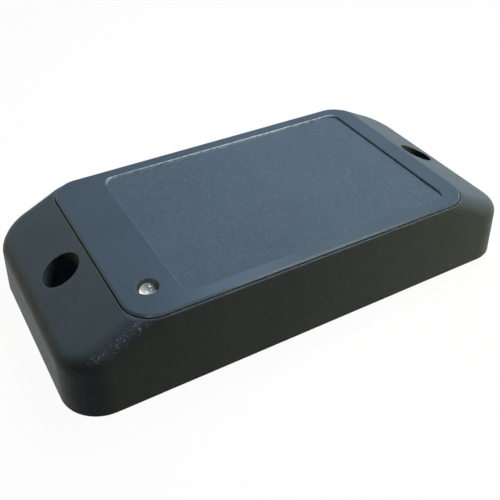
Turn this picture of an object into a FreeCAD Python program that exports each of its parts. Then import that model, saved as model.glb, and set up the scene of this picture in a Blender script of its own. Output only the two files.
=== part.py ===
import FreeCAD, Part
import math
import os
import re
import Sketcher
from FreeCAD import Placement, Rotation, Vector

# Access control card reader, lying on its back.
# Millimetres. X runs along the body, Z points up out of the face cover.
# The origin is the middle of the wall side, where the reader meets the wall.

# Driving dimensions, one cell of the sheet each
SIZES = {
    # Housing form
    "hole_spacing": "83.3",
    "hole_from_end": "7.6",
    "body_width": "47.5",
    "deck_height": "16.85",
    "wall_draft": "3",
    "corner_round": "7.6",
    "slope_angle": "26.7",
    "slope_round": "3.6",
    "wall_thickness": "2.2",
    "deck_floor": "1.6",
    "deck_edge_bevel": "0.2",
    # Face cover
    "cover_from_end": "12.8",
    "cover_ledge": "0.5",
    "cover_gap": "0.2",
    "cover_round": "5.4",
    "cover_proud": "0.5",
    "cover_seat": "1.05",
    "cover_edge_bevel": "0.35",
    "peg_width": "1.8",
    "peg_length": "1.3",
    "peg_clearance": "0.1",
    "peg_inset": "4.5",
    # Label recess of the face cover
    "recess_depth": "0.6",
    "recess_edge_bevel": "0.2",
    "recess_round": "2.2",
    "recess_left_margin": "10.6",
    "recess_right_margin": "4.2",
    "recess_side_margin": "2.9",
    # Screw towers in the sloped ends
    "screw_hole": "4.2",
    "head_well": "7.1",
    "well_floor": "3.5",
    "tower_wall": "1.5",
    "tower_rib": "6",
    # Back plate, its seal and its screws
    "plate_thickness": "2",
    "plate_clearance": "0.2",
    "rim_thickness": "1",
    "seal_thickness": "0.6",
    "seal_clearance": "0.1",
    "back_screw_inset": "8.75",
    "back_boss": "5",
    "back_screw_diameter": "2",
    "back_screw_length": "8",
    "back_head_diameter": "3.8",
    "back_head_height": "1.2",
    "back_head_depth": "1.3",
    # Cable grommet
    "grommet_x": "18",
    "grommet_bore": "5",
    "grommet_body": "7",
    "grommet_flange": "9.6",
    "grommet_flange_height": "1.2",
    # Circuit board and its screws
    "board_thickness": "1.6",
    "board_gap": "1.6",
    "board_corner": "2",
    "board_screw_inset": "3.75",
    "board_boss": "4.5",
    "board_screw_diameter": "2",
    "board_screw_length": "6",
    "board_head_diameter": "3.6",
    "board_head_height": "1.3",
    "screw_clearance": "0.15",
    "drive_width": "0.5",
    "drive_depth": "0.6",
    # Antenna coil
    "coil_from_lamp": "11.15",
    "coil_from_header": "1.8",
    "coil_from_side": "3.45",
    "coil_section": "3",
    "coil_round": "5",
    "coil_lead_width": "0.5",
    "coil_lead_spread": "3",
    "coil_lead_reach": "2",
    # Indicator lamp
    "lamp_diameter": "3",
    "lamp_hole": "4",
    "lamp_from_end": "5.5",
    "lamp_from_side": "7.3",
    "lamp_above_cover": "0.4",
    "lamp_height": "5.3",
    "lamp_flange": "3.8",
    "lamp_flange_height": "1",
    "lead_width": "0.5",
    "lead_spread": "2.54",
    "lead_clearance": "0.15",
    "lead_tail": "1",
    "lamp_holder_width": "4.8",
    "lamp_holder_bore": "3.4",
    # Buzzer
    "buzzer_from_coil": "5.8",
    "buzzer_diameter": "9",
    "buzzer_headroom": "1.15",
    "buzzer_pin_spread": "5",
    # Chips and legs
    "package_draft": "7",
    "leg_width": "0.35",
    "leg_thickness": "0.15",
    "leg_foot": "0.6",
    "leg_shoulder": "0.4",
    "chip_stand_off": "0.1",
    "controller_left": "4",
    "controller_y": "2",
    "controller_size": "7",
    "controller_height": "1.4",
    "controller_leg_pitch": "1.2",
    "controller_side_legs": "5",
    "reader_chip_left": "18",
    "reader_chip_y": "2",
    "reader_chip_width": "3.9",
    "reader_chip_length": "9.9",
    "reader_chip_height": "1.5",
    "reader_leg_pitch": "1.27",
    "reader_side_legs": "8",
    # Crystal
    "crystal_left": "4",
    "crystal_from_side": "10.95",
    "crystal_length": "11",
    "crystal_width": "4.6",
    "crystal_height": "3.4",
    "crystal_round": "1.8",
    "crystal_corner": "1.3",
    "crystal_flange": "0.4",
    "crystal_flange_height": "0.5",
    # Filter capacitor
    "capacitor_from_header": "8.5",
    "capacitor_from_side": "7.45",
    "capacitor_diameter": "6.3",
    "capacitor_base": "6.6",
    "capacitor_base_height": "0.7",
    "capacitor_base_cut": "1.3",
    # Tuning capacitors
    "tuning_left": "19.5",
    "tuning_from_side": "10.95",
    "tuning_pitch": "3.6",
    "tuning_length": "4.5",
    "tuning_width": "2.4",
    "tuning_height": "2",
    "tuning_count": "3",
    # Voltage regulator
    "regulator_x": "9",
    "regulator_from_side": "7.95",
    "regulator_length": "6.1",
    "regulator_width": "6.6",
    "regulator_height": "2.3",
    "regulator_tab": "1.6",
    "regulator_tab_width": "5.3",
    "regulator_tab_thickness": "0.5",
    "regulator_leg_width": "0.8",
    "regulator_leg_length": "2.6",
    "regulator_leg_spread": "4.6",
    # Choke
    "choke_from_header": "8.5",
    "choke_from_side": "7.45",
    "choke_size": "6",
    "choke_corner": "1.2",
    "choke_height": "3",
    # Input diode
    "diode_x": "10",
    "diode_from_side": "7.45",
    "diode_length": "4.3",
    "diode_width": "2.6",
    "diode_height": "2.2",
    "diode_foot_reach": "0.5",
    "diode_foot_width": "1.4",
    "diode_foot_thickness": "0.2",
    # Transistors
    "transistor_left": "27",
    "transistor_front": "2",
    "transistor_pitch": "5",
    "transistor_count": "2",
    "transistor_length": "2.9",
    "transistor_width": "1.3",
    "transistor_height": "1",
    "transistor_leg": "0.5",
    "transistor_leg_width": "0.4",
    "transistor_leg_spread": "1.9",
    # Chip resistors and chip capacitors
    "resistor_left": "17",
    "resistor_from_side": "3.45",
    "resistor_pitch": "2.6",
    "resistor_count": "7",
    "resistor_height": "0.5",
    "small_capacitor_left": "17",
    "small_capacitor_from_side": "7.95",
    "small_capacitor_pitch": "2.6",
    "small_capacitor_count": "7",
    "small_capacitor_height": "0.8",
    "chip_length": "1.6",
    "chip_width": "0.8",
    # Cable header
    "header_from_end": "5",
    "header_width": "5",
    "header_length": "14",
    "header_height": "4.6",
    "header_clearance": "0.6",
    "header_wall": "0.8",
    "header_floor": "1",
    "header_pin": "0.5",
    "header_pin_pitch": "2",
    "header_pins": "6",
    "header_pin_reach": "3",
    "header_foot_thickness": "0.3",
    "header_foot_reach": "0.8",
}

# Sizes that follow from the driving ones, as formulas of named sizes
RELATIONS = {
    "tower_x": "hole_spacing / 2",
    "half_length": "tower_x + hole_from_end",
    "cover_length": "2 * (half_length - cover_from_end)",
    "half_width": "body_width / 2",
    "deck_half_width": "half_width - deck_height * tan(wall_draft)",
    "slope_start": "cover_length / 2",
    "seat_height": "deck_height - cover_seat",
    "cover_top": "deck_height + cover_proud",
    "cover_half_width": "deck_half_width - cover_ledge",
    "ceiling": "seat_height - deck_floor",
    "hollow_half_length": "half_length - wall_thickness",
    "hollow_half_width": "half_width - wall_thickness",
    "hollow_slope_start": "slope_start + (deck_height - ceiling - wall_thickness"
                          " / cos(slope_angle)) / tan(slope_angle)",
    "tower_radius": "head_well / 2 + tower_wall",
    "rebate_half_length": "half_length - rim_thickness",
    "rebate_half_width": "half_width - rim_thickness",
    "rebate_round": "corner_round - rim_thickness",
    "rebate_depth": "plate_thickness + seal_thickness",
    "back_screw_x": "half_length - back_screw_inset",
    "back_screw_y": "half_width - back_screw_inset",
    "board_height": "plate_thickness + header_clearance + header_height",
    "board_top": "board_height + board_thickness",
    "board_half_length": "tower_x - tower_radius - board_gap",
    "board_half_width": "hollow_half_width - board_gap",
    "lamp_x": "-cover_length / 2 + lamp_from_end",
    "lamp_y": "-cover_half_width + lamp_from_side",
    "lamp_base": "cover_top + lamp_above_cover - lamp_height",
    "board_screw_x": "board_half_length - board_screw_inset",
    "board_screw_y": "board_half_width - board_screw_inset",
    "header_x": "board_half_length - header_from_end",
    "coil_left": "lamp_x + coil_from_lamp",
    "coil_right": "header_x - coil_from_header",
    "coil_half_length": "(coil_right - coil_left) / 2",
    "coil_half_width": "board_half_width - coil_from_side",
    "coil_x": "(coil_left + coil_right) / 2",
    "lead_hole": "lead_width + 2 * lead_clearance",
    "buzzer_x": "coil_x + buzzer_from_coil",
    "buzzer_height": "ceiling - buzzer_headroom - board_top",
    "controller_x": "-controller_left",
    "reader_chip_x": "-reader_chip_left",
    "crystal_x": "-crystal_left",
    "crystal_y": "crystal_from_side - board_half_width",
    "capacitor_x": "header_x - capacitor_from_header",
    "capacitor_y": "board_half_width - capacitor_from_side",
    "capacitor_height": "header_height - capacitor_base_height",
    "tuning_x": "-tuning_left",
    "tuning_y": "tuning_from_side - board_half_width",
    "regulator_y": "board_half_width - regulator_from_side",
    "choke_x": "header_x - choke_from_header",
    "choke_y": "choke_from_side - board_half_width",
    "diode_y": "diode_from_side - board_half_width",
    "transistor_x": "-transistor_left",
    "transistor_y": "-transistor_front",
    "resistor_x": "-resistor_left",
    "resistor_y": "board_half_width - resistor_from_side",
    "small_capacitor_x": "-small_capacitor_left",
    "small_capacitor_y": "board_half_width - small_capacitor_from_side",
}

# Places that repeated fasteners share: the board screws, the plate screws and the cover pegs
BOARD_SCREWS = (("board_screw_x", "-board_screw_y"), ("-board_screw_x", "board_screw_y"))
BACK_SCREWS = (("back_screw_x", "back_screw_y"), ("-back_screw_x", "-back_screw_y"))
COVER_PEGS = (
    ("cover_length / 2 - peg_inset", "-cover_half_width + peg_inset"),
    ("-cover_length / 2 + peg_inset", "cover_half_width - peg_inset"),
)
TOWERS = (("tower_x", "0"), ("-tower_x", "0"))

# How far a cutting profile runs past the material that it cuts
OVERRUN = 1.0

# The share of a screw head's width that its cross drive takes
DRIVE_SHARE = 0.6

document = FreeCAD.newDocument("card_reader")
sheet = document.addObject("Spreadsheet::Sheet", "Sizes")
for row, (alias, value) in enumerate(SIZES.items(), start=1):
    sheet.set(f"A{row}", alias)
    sheet.set(f"B{row}", value)
    sheet.setAlias(f"B{row}", alias)
document.recompute()

# The pieces that are written out, one file each
subparts = []


def formula(text):
    """Write the named sizes of a formula as references to the sheet."""
    def reference(match):
        word = match.group(0)
        if word in RELATIONS:
            return "(" + formula(RELATIONS[word]) + ")"
        if word in SIZES:
            return "Sizes." + word
        return word
    return re.sub(r"[a-z]\w*", reference, text)


def number(text):
    """The present value of a formula of named sizes."""
    return float(sheet.evalExpression(formula(text)))


def whole(text):
    """A count from the sheet."""
    return int(round(number(text)))


def bind(item, **formulas):
    """Tie properties of an object to formulas of named sizes."""
    for name, text in formulas.items():
        item.setExpression(name, formula(text))


def place(item, across="0", along="0", height="0"):
    """Tie the place of an object to formulas of named sizes."""
    for axis, text in (("x", across), ("y", along), ("z", height)):
        item.setExpression(f"Placement.Base.{axis}", formula(text))


def subpart(item, label):
    """Name an object as one piece of the reader."""
    item.Label = label
    subparts.append(item)
    return item


# Sketches

def new_body(name):
    return document.addObject("PartDesign::Body", name)


def origin_plane(body, role):
    return next(feature for feature in body.Origin.OriginFeatures if feature.Role == role)


def new_sketch(body, name, role="XY_Plane", offset=None):
    """A sketch on one of the body's own planes, moved along the plane's normal."""
    sketch = body.newObject("Sketcher::SketchObject", name)
    sketch.AttachmentSupport = [(origin_plane(body, role), "")]
    sketch.MapMode = "FlatFace"
    if offset is not None:
        sketch.setExpression("AttachmentOffset.Base.z", formula(offset))
    return sketch


def dimension(sketch, kind, *where, size):
    """Add one dimension to a sketch and tie it to a formula."""
    index = sketch.addConstraint(Sketcher.Constraint(kind, *where, number(size)))
    sketch.setExpression(f"Constraints[{index}]", formula(size))


def pin_point(sketch, edge, end, across, up):
    """Tie one point of a sketch to its place from the sketch's origin."""
    dimension(sketch, "DistanceX", -1, 1, edge, end, size=across)
    dimension(sketch, "DistanceY", -1, 1, edge, end, size=up)


def polygon(sketch, corners):
    """A closed outline of straight lines through corners given as formulas."""
    points = [Vector(number(across), number(up), 0) for across, up in corners]
    first = sketch.GeometryCount
    for start, end in zip(points, points[1:] + points[:1]):
        sketch.addGeometry(Part.LineSegment(start, end))
    count = len(points)
    for index in range(count):
        following = first + (index + 1) % count
        sketch.addConstraint(Sketcher.Constraint("Coincident", first + index, 2, following, 1))
    for index, (across, up) in enumerate(corners):
        pin_point(sketch, first + index, 1, across, up)


def rectangle(sketch, half_across, half_up, across="0", up="0"):
    """A rectangle about a centre."""
    left = f"({across}) - ({half_across})"
    right = f"({across}) + ({half_across})"
    low = f"({up}) - ({half_up})"
    high = f"({up}) + ({half_up})"
    polygon(sketch, [(left, low), (right, low), (right, high), (left, high)])


def rounded_rectangle(sketch, half_across, half_up, radius, across="0", up="0"):
    """A rectangle about a centre, with four equal round corners."""
    middle = Vector(number(across), number(up), 0)
    reach = Vector(number(half_across), number(half_up), 0)
    round_size = number(radius)
    first = sketch.GeometryCount
    signs = ((1, 1), (-1, 1), (-1, -1), (1, -1))
    quarter = math.pi / 2
    normal = Vector(0, 0, 1)
    arcs = []
    for turn, (side, end) in enumerate(signs):
        centre = middle + Vector(side * (reach.x - round_size), end * (reach.y - round_size), 0)
        corner = Part.Circle(centre, normal, round_size)
        arcs.append(Part.ArcOfCircle(corner, turn * quarter, (turn + 1) * quarter))
    for arc in arcs:
        sketch.addGeometry(arc)
    for turn in range(4):
        line = Part.LineSegment(arcs[turn].EndPoint, arcs[(turn + 1) % 4].StartPoint)
        sketch.addGeometry(line)
    for turn in range(4):
        line = first + 4 + turn
        sketch.addConstraint(Sketcher.Constraint("Tangent", first + turn, 2, line, 1))
        sketch.addConstraint(Sketcher.Constraint("Tangent", line, 2, first + (turn + 1) % 4, 1))
        sketch.addConstraint(Sketcher.Constraint("Horizontal" if turn % 2 == 0 else "Vertical", line))
        if turn:
            sketch.addConstraint(Sketcher.Constraint("Equal", first, first + turn))
    dimension(sketch, "Radius", first, size=radius)
    for arc, sign in ((first, "+"), (first + 2, "-")):
        pin_point(
            sketch, arc, 3,
            f"({across}) {sign} (({half_across}) - ({radius}))",
            f"({up}) {sign} (({half_up}) - ({radius}))",
        )


def cut_rectangle(sketch, half_across, half_up, corner, across="0", up="0"):
    """A rectangle about a centre, with its four corners cut off."""
    right = f"({across}) + ({half_across})"
    left = f"({across}) - ({half_across})"
    high = f"({up}) + ({half_up})"
    low = f"({up}) - ({half_up})"
    polygon(sketch, [
        (f"{right} - ({corner})", low),
        (right, f"{low} + ({corner})"),
        (right, f"{high} - ({corner})"),
        (f"{right} - ({corner})", high),
        (f"{left} + ({corner})", high),
        (left, f"{high} - ({corner})"),
        (left, f"{low} + ({corner})"),
        (f"{left} + ({corner})", low),
    ])


def circle(sketch, diameter, across="0", up="0"):
    """A circle about a centre."""
    centre = Vector(number(across), number(up), 0)
    index = sketch.addGeometry(Part.Circle(centre, Vector(0, 0, 1), number(diameter) / 2))
    pin_point(sketch, index, 3, across, up)
    dimension(sketch, "Diameter", index, size=diameter)


def circles(sketch, diameter, places):
    """Equal circles at several places."""
    for across, up in places:
        circle(sketch, diameter, across, up)


def squares(sketch, side, places):
    """Equal squares at several places."""
    for across, up in places:
        rectangle(sketch, f"({side}) / 2", f"({side}) / 2", across, up)


# Features

def finish_feature(body, feature):
    body.Tip = feature
    document.recompute()
    return feature


def pad(body, sketch, length, downward=False):
    """Grow a sketch along its normal."""
    feature = body.newObject("PartDesign::Pad", sketch.Name + "_pad")
    feature.Profile = sketch
    feature.Reversed = downward
    bind(feature, Length=length)
    return finish_feature(body, feature)


def draft_walls(body, angle):
    """Lean the upright walls of a block inwards, from their foot up."""
    base = body.Tip
    faces = base.Shape.Faces
    walls = [
        f"Face{place}" for place, face in enumerate(faces, start=1) if is_near(face.normalAt(0, 0).z, 0)
    ]
    feature = body.newObject("PartDesign::Draft", base.Name + "_draft")
    feature.Base = (base, walls)
    feature.NeutralPlane = (origin_plane(body, "XY_Plane"), [""])
    bind(feature, Angle=angle)
    return finish_feature(body, feature)


def pocket(body, sketch, depth=None, upward=False, both_ways=False):
    """Cut a sketch out of the body, to a depth or all the way through."""
    feature = body.newObject("PartDesign::Pocket", sketch.Name + "_pocket")
    feature.Profile = sketch
    feature.Reversed = upward
    if depth is None:
        feature.Type = "ThroughAll"
    else:
        bind(feature, Length=depth)
    if both_ways:
        feature.SideType = "Symmetric"
    volume_before = body.Shape.Volume
    finish_feature(body, feature)
    if body.Shape.Volume > volume_before - 1e-6:
        raise RuntimeError(f"{feature.Name} cuts nothing")
    return feature


def edges_that(base, wanted):
    """The names of a feature's edges that answer a description."""
    names = [f"Edge{place}" for place, edge in enumerate(base.Shape.Edges, start=1) if wanted(edge)]
    if not names:
        raise RuntimeError(f"no such edges on {base.Name}")
    return names


def fillet(body, radius, wanted):
    """Round the edges of the body that answer a description."""
    base = body.Tip
    feature = body.newObject("PartDesign::Fillet", base.Name + "_round")
    feature.Base = (base, edges_that(base, wanted))
    bind(feature, Radius=radius)
    return finish_feature(body, feature)


def bevel(body, size, wanted):
    """Cut a flat along the edges of the body that answer a description."""
    base = body.Tip
    feature = body.newObject("PartDesign::Chamfer", base.Name + "_bevel")
    feature.Base = (base, edges_that(base, wanted))
    bind(feature, Size=size)
    return finish_feature(body, feature)


def row_along(body, sketch, feature, axis, pitch, count):
    """Repeat a feature in a row along an axis of its sketch."""
    pattern = body.newObject("PartDesign::LinearPattern", sketch.Name + "_row")
    pattern.Originals = [feature]
    pattern.Direction = (sketch, [axis])
    bind(pattern, Length=f"({pitch}) * ({count} - 1)", Occurrences=count)
    return finish_feature(body, pattern)


# Tests that pick the edges to round

def is_near(value, target):
    return abs(value - target) < 1e-3


def is_upright(edge):
    """A straight edge that runs up a wall, drafted or not."""
    box = edge.BoundBox
    return box.ZLength > 3 * max(box.XLength, box.YLength) and len(edge.Vertexes) == 2


def runs_along(edge):
    """An edge that runs the length of the body."""
    return edge.BoundBox.XLength > 10 * edge.BoundBox.YLength


def is_level_at(edge, height):
    """An edge that lies flat at one height."""
    return is_near(edge.BoundBox.ZMin, height) and is_near(edge.BoundBox.ZMax, height)


# Simple solids

def block(name, sizes, across="0", along="0", height="0"):
    """A box given by its three sizes, centred across and along, standing at a height."""
    length, width, tall = sizes
    box = document.addObject("Part::Box", name)
    bind(box, Length=length, Width=width, Height=tall)
    place(box, f"({across}) - ({length}) / 2", f"({along}) - ({width}) / 2", height)
    return box


def rod(name, diameter, tall, across="0", along="0", height="0"):
    """An upright cylinder standing at a height."""
    cylinder = document.addObject("Part::Cylinder", name)
    bind(cylinder, Radius=f"({diameter}) / 2", Height=tall)
    place(cylinder, across, along, height)
    return cylinder


def group(label, pieces):
    """Several separate solids that share one node."""
    compound = document.addObject("Part::Compound", label)
    compound.Links = pieces
    return subpart(compound, label)


def fuse(name, pieces):
    """Solids that are one piece."""
    joined = document.addObject("Part::MultiFuse", name)
    joined.Shapes = pieces
    joined.Refine = True
    return joined


def cut(name, base, tool):
    """One solid less another."""
    result = document.addObject("Part::Cut", name)
    result.Base = base
    result.Tool = tool
    return result


# Housing

def add_end_slopes(body, start, height):
    """Cut both ends down along the slope angle, from a distance out at a height."""
    sketch = new_sketch(body, body.Name + "_slopes", "XZ_Plane")
    far = f"half_length + {OVERRUN}"
    above = f"{height} + {OVERRUN}"
    for sign in ("", "-"):
        polygon(sketch, [
            (f"{sign}({start} - {OVERRUN} / tan(slope_angle))", above),
            (f"{sign}({far})", f"{height} - ({far} - {start}) * tan(slope_angle)"),
            (f"{sign}({far})", above),
        ])
    pocket(body, sketch, both_ways=True)


def is_slope(face):
    """One of the two sloped end faces."""
    if face.Surface.TypeId != "Part::GeomPlane":
        return False
    normal = face.normalAt(0, 0)
    return is_near(abs(normal.x), number("sin(slope_angle)")) and normal.z > 0.5


def sloped_block(body, half_across, half_along, height, start, corner):
    """A drafted block with round corners and sloped ends."""
    outline = new_sketch(body, body.Name + "_outline")
    rectangle(outline, half_across, half_along)
    pad(body, outline, height)
    draft_walls(body, "wall_draft")
    add_end_slopes(body, start, height)
    fillet(body, corner, is_upright)


def slope_border(body, start):
    """A test for the edges where the slopes meet the walls, which leaves out their crests."""
    crest = number(start)
    border = [
        edge for face in body.Tip.Shape.Faces if is_slope(face) for edge in face.Edges
        if not is_near(abs(edge.CenterOfMass.x), crest)
    ]
    return lambda edge: any(edge.isSame(other) for other in border)


def make_hollow():
    """The space inside the housing, less the towers, ribs and bosses that stand in it."""
    body = new_body("hollow")
    sloped_block(
        body, "hollow_half_length", "hollow_half_width", "ceiling", "hollow_slope_start",
        "corner_round - wall_thickness",
    )
    rebate = new_sketch(body, "rebate")
    rounded_rectangle(rebate, "rebate_half_length", "rebate_half_width", "rebate_round")
    pad(body, rebate, "rebate_depth")
    towers = new_sketch(body, "towers")
    circles(towers, "2 * tower_radius", TOWERS)
    pocket(body, towers, upward=True)
    ribs = new_sketch(body, "tower_ribs", offset="rebate_depth")
    for sign in ("", "-"):
        rectangle(ribs, "tower_x / 2", "tower_rib / 2", f"{sign}(tower_x * 3 / 2)")
    pocket(body, ribs, upward=True)
    back_bosses = new_sketch(body, "back_bosses", offset="plate_thickness")
    squares(back_bosses, "back_boss", BACK_SCREWS)
    pocket(body, back_bosses, upward=True)
    board_bosses = new_sketch(body, "board_bosses", offset="board_top")
    squares(board_bosses, "board_boss", BOARD_SCREWS)
    pocket(body, board_bosses, upward=True)
    return body


def make_housing(hollow):
    body = new_body("housing")
    sloped_block(body, "half_length", "half_width", "deck_height", "slope_start", "corner_round")
    fillet(body, "slope_round", slope_border(body, "slope_start"))
    bevel(
        body, "deck_edge_bevel",
        lambda edge: is_level_at(edge, number("deck_height")) and runs_along(edge),
    )
    hollowed = body.newObject("PartDesign::Boolean", "hollowed")
    hollowed.Type = "Cut"
    hollowed.setObjects([hollow])
    finish_feature(body, hollowed)

    seat = new_sketch(body, "cover_pocket", offset="deck_height")
    rounded_rectangle(
        seat, "cover_length / 2 + cover_gap", "cover_half_width + cover_gap", "cover_round + cover_gap",
    )
    pocket(body, seat, "cover_seat")

    wells = new_sketch(body, "head_wells", offset="well_floor")
    circles(wells, "head_well", TOWERS)
    pocket(body, wells, upward=True)
    passages = new_sketch(body, "screw_passages")
    circles(passages, "screw_hole", TOWERS)
    pocket(body, passages, upward=True)

    face_holes = new_sketch(body, "face_holes", offset="deck_height")
    circle(face_holes, "lamp_hole", "lamp_x", "lamp_y")
    squares(face_holes, "peg_width + 2 * peg_clearance", COVER_PEGS)
    pocket(body, face_holes, "cover_seat + deck_floor")

    back_pilots = new_sketch(body, "back_pilots", offset="plate_thickness")
    circles(back_pilots, "back_screw_diameter", BACK_SCREWS)
    pocket(body, back_pilots, "back_screw_length", upward=True)
    board_pilots = new_sketch(body, "board_pilots", offset="board_top")
    circles(board_pilots, "board_screw_diameter", BOARD_SCREWS)
    pocket(body, board_pilots, "board_screw_length - board_thickness", upward=True)
    return subpart(body, "housing")


# Face cover

def is_recess_rim(edge):
    """An edge of the recess in the top of the cover, which lies inside the cover's own edge."""
    box = edge.BoundBox
    across = max(abs(box.XMin), abs(box.XMax))
    along = max(abs(box.YMin), abs(box.YMax))
    inside = across < number("cover_length / 2 - recess_right_margin / 2")
    inside = inside and along < number("cover_half_width - recess_side_margin / 2")
    return inside and is_level_at(edge, number("cover_top"))


def make_face_cover():
    body = new_body("face_cover")
    outline = new_sketch(body, "cover_outline", offset="seat_height")
    rounded_rectangle(outline, "cover_length / 2", "cover_half_width", "cover_round")
    pad(body, outline, "cover_seat + cover_proud")
    bevel(body, "cover_edge_bevel", lambda edge: is_level_at(edge, number("cover_top")))

    recess = new_sketch(body, "label_recess", offset="cover_top")
    rounded_rectangle(
        recess,
        "(cover_length - recess_left_margin - recess_right_margin) / 2",
        "cover_half_width - recess_side_margin",
        "recess_round",
        across="(recess_left_margin - recess_right_margin) / 2",
    )
    pocket(body, recess, "recess_depth")
    bevel(body, "recess_edge_bevel", is_recess_rim)
    lamp_hole = new_sketch(body, "cover_lamp_hole", offset="cover_top")
    circle(lamp_hole, "lamp_hole", "lamp_x", "lamp_y")
    pocket(body, lamp_hole)
    pegs = new_sketch(body, "cover_pegs", offset="seat_height")
    squares(pegs, "peg_width", COVER_PEGS)
    pad(body, pegs, "peg_length", downward=True)
    return subpart(body, "face_cover")


# Back plate, seal and grommet

def make_back_plate():
    body = new_body("back_plate")
    outline = new_sketch(body, "plate_outline")
    rounded_rectangle(
        outline, "rebate_half_length - plate_clearance", "rebate_half_width - plate_clearance",
        "rebate_round - plate_clearance",
    )
    pad(body, outline, "plate_thickness")
    holes = new_sketch(body, "plate_holes")
    circles(holes, "2 * (tower_radius + plate_clearance)", TOWERS)
    circles(holes, "back_screw_diameter + 2 * screw_clearance", BACK_SCREWS)
    circle(holes, "grommet_body", "grommet_x", "0")
    pocket(body, holes, upward=True)
    head_seats = new_sketch(body, "plate_head_seats")
    circles(head_seats, "back_head_diameter + 2 * screw_clearance", BACK_SCREWS)
    pocket(body, head_seats, "back_head_depth", upward=True)
    return subpart(body, "back_plate")


def make_back_seal():
    body = new_body("back_seal")
    ring = new_sketch(body, "seal_ring", offset="plate_thickness")
    rounded_rectangle(
        ring, "rebate_half_length - seal_clearance", "rebate_half_width - seal_clearance",
        "rebate_round - seal_clearance",
    )
    rounded_rectangle(
        ring, "hollow_half_length", "hollow_half_width", "corner_round - wall_thickness",
    )
    pad(body, ring, "seal_thickness")
    return subpart(body, "back_seal")


def make_cable_grommet():
    """A rubber bush: its body fills the plate's hole, and its flange lies on the plate."""
    bush = fuse("grommet_solid", [
        rod("grommet_neck", "grommet_body", "plate_thickness", "grommet_x"),
        rod("grommet_collar", "grommet_flange", "grommet_flange_height", "grommet_x", "0", "plate_thickness"),
    ])
    bore = rod("grommet_opening", "grommet_bore", "plate_thickness + grommet_flange_height", "grommet_x")
    return subpart(cut("cable_grommet", bush, bore), "cable_grommet")


# Screws, all driven from the wall side

def make_screw(name, diameter, length, head, head_height, across, along, head_base):
    """A pan head screw with a cross drive, its head below and its shank pointing up."""
    pieces = [
        rod(name + "_head", head, head_height, across, along, f"{head_base} - {head_height}"),
        rod(name + "_shank", f"{diameter} - screw_clearance / 2", length, across, along, head_base),
    ]
    drive_length = f"({head}) * {DRIVE_SHARE}"
    drive_base = f"{head_base} - {head_height}"
    arms = [
        block(name + "_arm", (drive_length, "drive_width", "drive_depth"), across, along, drive_base),
        block(name + "_cross", ("drive_width", drive_length, "drive_depth"), across, along, drive_base),
    ]
    return cut(name, fuse(name + "_solid", pieces), fuse(name + "_drive", arms))


def make_back_screws():
    return group("back_screws", [
        make_screw(
            f"back_screw_{index}", "back_screw_diameter", "back_screw_length",
            "back_head_diameter", "back_head_height", across, along, "back_head_depth",
        )
        for index, (across, along) in enumerate(BACK_SCREWS, start=1)
    ])


def make_board_screws():
    return group("board_screws", [
        make_screw(
            f"board_screw_{index}", "board_screw_diameter", "board_screw_length - screw_clearance",
            "board_head_diameter", "board_head_height", across, along, "board_height",
        )
        for index, (across, along) in enumerate(BOARD_SCREWS, start=1)
    ])


# Circuit board

def lamp_lead_places():
    return [(f"lamp_x {sign} lead_spread / 2", "lamp_y") for sign in ("-", "+")]


def buzzer_pin_places():
    return [(f"buzzer_x {sign} buzzer_pin_spread / 2", "0") for sign in ("-", "+")]


def make_circuit_board():
    body = new_body("circuit_board")
    outline = new_sketch(body, "board_outline", offset="board_height")
    cut_rectangle(outline, "board_half_length", "board_half_width", "board_corner")
    pad(body, outline, "board_thickness")
    holes = new_sketch(body, "board_holes", offset="board_height")
    circles(holes, "board_screw_diameter + 2 * screw_clearance", BOARD_SCREWS)
    squares(holes, "lead_hole", lamp_lead_places() + buzzer_pin_places())
    pocket(body, holes, upward=True)
    return subpart(body, "circuit_board")


def make_antenna_coil():
    """The wound antenna, a flat closed ring of bonded wire on the board."""
    body = new_body("antenna_coil")
    ring = new_sketch(body, "coil_ring", offset="board_top")
    rounded_rectangle(ring, "coil_half_length", "coil_half_width", "coil_round", across="coil_x")
    rounded_rectangle(
        ring, "coil_half_length - coil_section", "coil_half_width - coil_section",
        "coil_round - coil_section", across="coil_x",
    )
    pad(body, ring, "coil_section")
    return subpart(body, "antenna_coil")


def make_coil_leads():
    """Two wire ends that leave the ring and bend down to their pads on the board."""
    leads = []
    reach = "coil_lead_reach"
    level = "board_top + coil_section / 2"
    for index, sign in enumerate(("-", "+")):
        body = new_body(f"coil_lead_{index + 1}")
        profile = new_sketch(body, f"coil_lead_profile_{index + 1}", "XZ_Plane",
                             f"{sign}coil_lead_spread / 2 - coil_lead_width / 2")
        polygon(profile, [
            ("coil_left", level),
            (f"coil_left - {reach}", level),
            (f"coil_left - {reach}", "board_top"),
            (f"coil_left - {reach} + coil_lead_width", "board_top"),
            (f"coil_left - {reach} + coil_lead_width", f"{level} - coil_lead_width"),
            ("coil_left", f"{level} - coil_lead_width"),
        ])
        pad(body, profile, "coil_lead_width")
        leads.append(body)
    return group("coil_leads", leads)


# Indicator lamp

def make_indicator_lamp():
    """A domed lamp: flange, straight body and a half ball on top."""
    shoulder = "lamp_base + lamp_height - lamp_diameter / 2"
    dome = document.addObject("Part::Sphere", "lamp_dome")
    bind(dome, Radius="lamp_diameter / 2")
    place(dome, "lamp_x", "lamp_y", shoulder)
    pieces = [
        rod("lamp_flange_disc", "lamp_flange", "lamp_flange_height", "lamp_x", "lamp_y", "lamp_base"),
        rod("lamp_body", "lamp_diameter", "lamp_height - lamp_diameter / 2", "lamp_x", "lamp_y", "lamp_base"),
        dome,
    ]
    return subpart(fuse("indicator_lamp", pieces), "indicator_lamp")


def make_pins(label, places, height):
    """Square wire pins that stand through the board up to the piece above it."""
    return group(label, [
        block(f"{label}_{index}", ("lead_width", "lead_width", f"{height} - board_height + lead_tail"),
              across, along, "board_height - lead_tail")
        for index, (across, along) in enumerate(places, start=1)
    ])


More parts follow.
